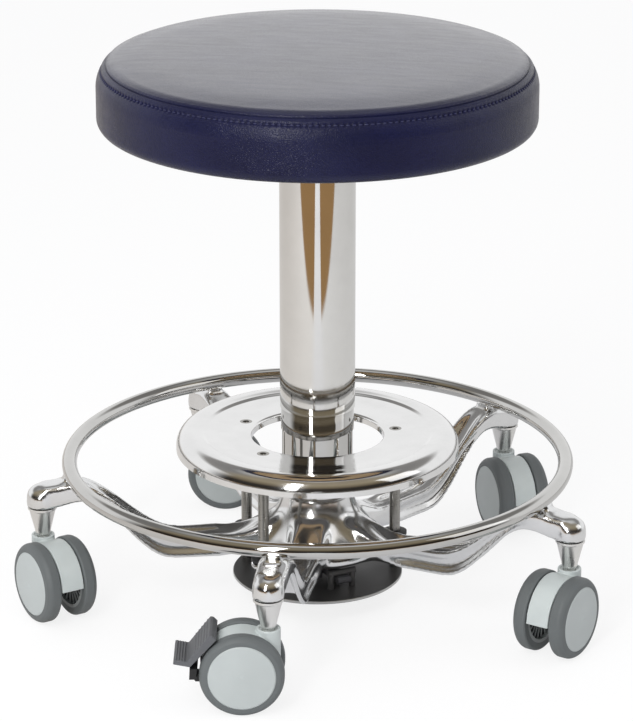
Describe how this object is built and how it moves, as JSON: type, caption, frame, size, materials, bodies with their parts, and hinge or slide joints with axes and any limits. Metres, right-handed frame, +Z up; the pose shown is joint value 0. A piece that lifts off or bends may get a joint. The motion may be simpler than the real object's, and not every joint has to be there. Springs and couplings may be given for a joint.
{
  "type": "surgeon stool",
  "caption": "Round padded seat on a telescoping chrome column with a star base on braked twin-wheel casters, a chrome foot ring and a foot disc that releases the height.",
  "frame": {"origin": "on the floor, on the column axis", "axes": "+Z up the column axis from the floor to the seat; the front arm, whose caster has the brake, points along -Y"},
  "size_m": [0.5462, 0.5378, 0.525],
  "materials": {
    "leatherette": "fine grain, soft sheen",
    "foam": "open foam",
    "plywood": "raw plywood",
    "dark_steel": "satin black paint",
    "zinc_steel": "zinc plated",
    "chrome": "mirror chrome",
    "black_plastic": "matt",
    "polished_aluminium": "polished",
    "polished_steel": "polished",
    "satin_steel": "satin",
    "charcoal_steel": "satin",
    "pale_plastic": "moulded gloss",
    "cap_plastic": "moulded gloss",
    "tread_rubber": "soft matt tread",
    "dark_plastic": "matt"
  },
  "bodies": {
    "base": {"star_base": "polished_aluminium", "foot_ring": "chrome", "caster_stems": "chrome", "sleeve_lower": "chrome", "stand_tube": "dark_steel", "guide_bush": "black_plastic", "gas_cylinder": "dark_steel", "lever_bracket": "dark_steel", "lever_pin": "zinc_steel", "pillar_guides": "black_plastic"},
    "lift": {"lift_tube": "dark_steel", "piston_rod": "zinc_steel", "swivel_washer": "black_plastic"},
    "seat": {"seat_cover_top": "leatherette", "seat_cover_band": "leatherette", "seat_foam": "foam", "seat_board": "plywood", "seat_plate": "dark_steel", "seat_screws": "zinc_steel", "sleeve_outer": "chrome"},
    "mid_sleeve": {"sleeve_middle": "chrome"},
    "release": {"foot_disc": "polished_steel", "disc_screws": "chrome", "release_pillars": "satin_steel", "foot_plate": "charcoal_steel"},
    "lever": {"release_lever": "dark_steel"},
    "valve": {"valve_pin": "zinc_steel"},
    "caster_front": {"caster_front_housing": "pale_plastic", "caster_front_axle": "zinc_steel", "brake_pin": "zinc_steel"},
    "caster_front_wheel_1": {"caster_front_wheel_1_core": "cap_plastic", "caster_front_wheel_1_tread": "tread_rubber"},
    "caster_front_wheel_2": {"caster_front_wheel_2_core": "cap_plastic", "caster_front_wheel_2_tread": "tread_rubber"},
    "brake": {"brake_pedal": "dark_plastic", "brake_shoe": "black_plastic"},
    "caster_right": {"caster_right_housing": "pale_plastic", "caster_right_axle": "zinc_steel"},
    "caster_right_wheel_1": {"caster_right_wheel_1_core": "cap_plastic", "caster_right_wheel_1_tread": "tread_rubber"},
    "caster_right_wheel_2": {"caster_right_wheel_2_core": "cap_plastic", "caster_right_wheel_2_tread": "tread_rubber"},
    "caster_rear_right": {"caster_rear_right_housing": "pale_plastic", "caster_rear_right_axle": "zinc_steel"},
    "caster_rear_right_wheel_1": {"caster_rear_right_wheel_1_core": "cap_plastic", "caster_rear_right_wheel_1_tread": "tread_rubber"},
    "caster_rear_right_wheel_2": {"caster_rear_right_wheel_2_core": "cap_plastic", "caster_rear_right_wheel_2_tread": "tread_rubber"},
    "caster_rear_left": {"caster_rear_left_housing": "pale_plastic", "caster_rear_left_axle": "zinc_steel"},
    "caster_rear_left_wheel_1": {"caster_rear_left_wheel_1_core": "cap_plastic", "caster_rear_left_wheel_1_tread": "tread_rubber"},
    "caster_rear_left_wheel_2": {"caster_rear_left_wheel_2_core": "cap_plastic", "caster_rear_left_wheel_2_tread": "tread_rubber"},
    "caster_left": {"caster_left_housing": "pale_plastic", "caster_left_axle": "zinc_steel"},
    "caster_left_wheel_1": {"caster_left_wheel_1_core": "cap_plastic", "caster_left_wheel_1_tread": "tread_rubber"},
    "caster_left_wheel_2": {"caster_left_wheel_2_core": "cap_plastic", "caster_left_wheel_2_tread": "tread_rubber"}
  },
  "joints": [
    {"name": "seat_lift", "type": "slide", "parent": "base", "child": "lift", "axis": [0, 0, 1], "range_m": [0, 0.13]},
    {"name": "seat_swivel", "type": "hinge", "parent": "lift", "child": "seat", "pos_m": [0, 0, 0.456], "axis": [0, 0, 1], "continuous": true},
    {"name": "sleeve_slide", "type": "slide", "parent": "base", "child": "mid_sleeve", "axis": [0, 0, 1], "range_m": [0, 0.065]},
    {"name": "foot_press", "type": "slide", "parent": "base", "child": "release", "axis": [0, 0, -1], "range_m": [0, 0.008], "stiffness_N_per_m": 4000, "springref_m": -0.012},
    {"name": "lever_turn", "type": "hinge", "parent": "base", "child": "lever", "pos_m": [0.01058, -0.01456, 0.0325], "axis": [0.809, 0.5878, 0], "range_deg": [0, 14.33]},
    {"name": "valve_push", "type": "slide", "parent": "base", "child": "valve", "axis": [0, 0, 1], "range_m": [0, 0.0054]},
    {"name": "front_swivel", "type": "hinge", "parent": "base", "child": "caster_front", "pos_m": [0, -0.2586, 0.0745], "axis": [0, 0, 1], "continuous": true},
    {"name": "front_wheel_1_spin", "type": "hinge", "parent": "caster_front", "child": "caster_front_wheel_1", "pos_m": [-0.02269, -0.2624, 0.0375], "axis": [0.165, -0.9863, 0], "continuous": true},
    {"name": "front_wheel_2_spin", "type": "hinge", "parent": "caster_front", "child": "caster_front_wheel_2", "pos_m": [-0.02269, -0.2624, 0.0375], "axis": [0.165, -0.9863, 0], "continuous": true},
    {"name": "brake_press", "type": "hinge", "parent": "caster_front", "child": "brake", "pos_m": [-0.0503, -0.26702, 0.0435], "axis": [0.165, -0.9863, 0], "range_deg": [0, 12]},
    {"name": "right_swivel", "type": "hinge", "parent": "base", "child": "caster_right", "pos_m": [0.24594, -0.07991, 0.0745], "axis": [0, 0, 1], "continuous": true},
    {"name": "right_wheel_1_spin", "type": "hinge", "parent": "caster_right", "child": "caster_right_wheel_1", "pos_m": [0.23677, -0.101, 0.0375], "axis": [0.9171, -0.3987, 0], "continuous": true},
    {"name": "right_wheel_2_spin", "type": "hinge", "parent": "caster_right", "child": "caster_right_wheel_2", "pos_m": [0.23677, -0.101, 0.0375], "axis": [0.9171, -0.3987, 0], "continuous": true},
    {"name": "rear_right_swivel", "type": "hinge", "parent": "base", "child": "caster_rear_right", "pos_m": [0.152, 0.20921, 0.0745], "axis": [0, 0, 1], "continuous": true},
    {"name": "rear_right_wheel_1_spin", "type": "hinge", "parent": "caster_rear_right", "child": "caster_rear_right_wheel_1", "pos_m": [0.16333, 0.18919, 0.0375], "axis": [0.8704, 0.4924, 0], "continuous": true},
    {"name": "rear_right_wheel_2_spin", "type": "hinge", "parent": "caster_rear_right", "child": "caster_rear_right_wheel_2", "pos_m": [0.16333, 0.18919, 0.0375], "axis": [0.8704, 0.4924, 0], "continuous": true},
    {"name": "rear_left_swivel", "type": "hinge", "parent": "base", "child": "caster_rear_left", "pos_m": [-0.152, 0.20921, 0.0745], "axis": [0, 0, 1], "continuous": true},
    {"name": "rear_left_wheel_1_spin", "type": "hinge", "parent": "caster_rear_left", "child": "caster_rear_left_wheel_1", "pos_m": [-0.12932, 0.21301, 0.0375], "axis": [-0.165, 0.9863, 0], "continuous": true},
    {"name": "rear_left_wheel_2_spin", "type": "hinge", "parent": "caster_rear_left", "child": "caster_rear_left_wheel_2", "pos_m": [-0.12932, 0.21301, 0.0375], "axis": [-0.165, 0.9863, 0], "continuous": true},
    {"name": "left_swivel", "type": "hinge", "parent": "base", "child": "caster_left", "pos_m": [-0.24594, -0.07991, 0.0745], "axis": [0, 0, 1], "continuous": true},
    {"name": "left_wheel_1_spin", "type": "hinge", "parent": "caster_left", "child": "caster_left_wheel_1", "pos_m": [-0.23085, -0.09727, 0.0375], "axis": [0.7547, 0.6561, 0], "continuous": true},
    {"name": "left_wheel_2_spin", "type": "hinge", "parent": "caster_left", "child": "caster_left_wheel_2", "pos_m": [-0.23085, -0.09727, 0.0375], "axis": [0.7547, 0.6561, 0], "continuous": true}
  ],
  "couplings": [
    {"joint": "sleeve_slide", "follows": "seat_lift", "ratio": 0.5},
    {"joint": "lever_turn", "follows": "foot_press", "rad_per_m": 31.25},
    {"joint": "valve_push", "follows": "foot_press", "ratio": 0.675}
  ]
}
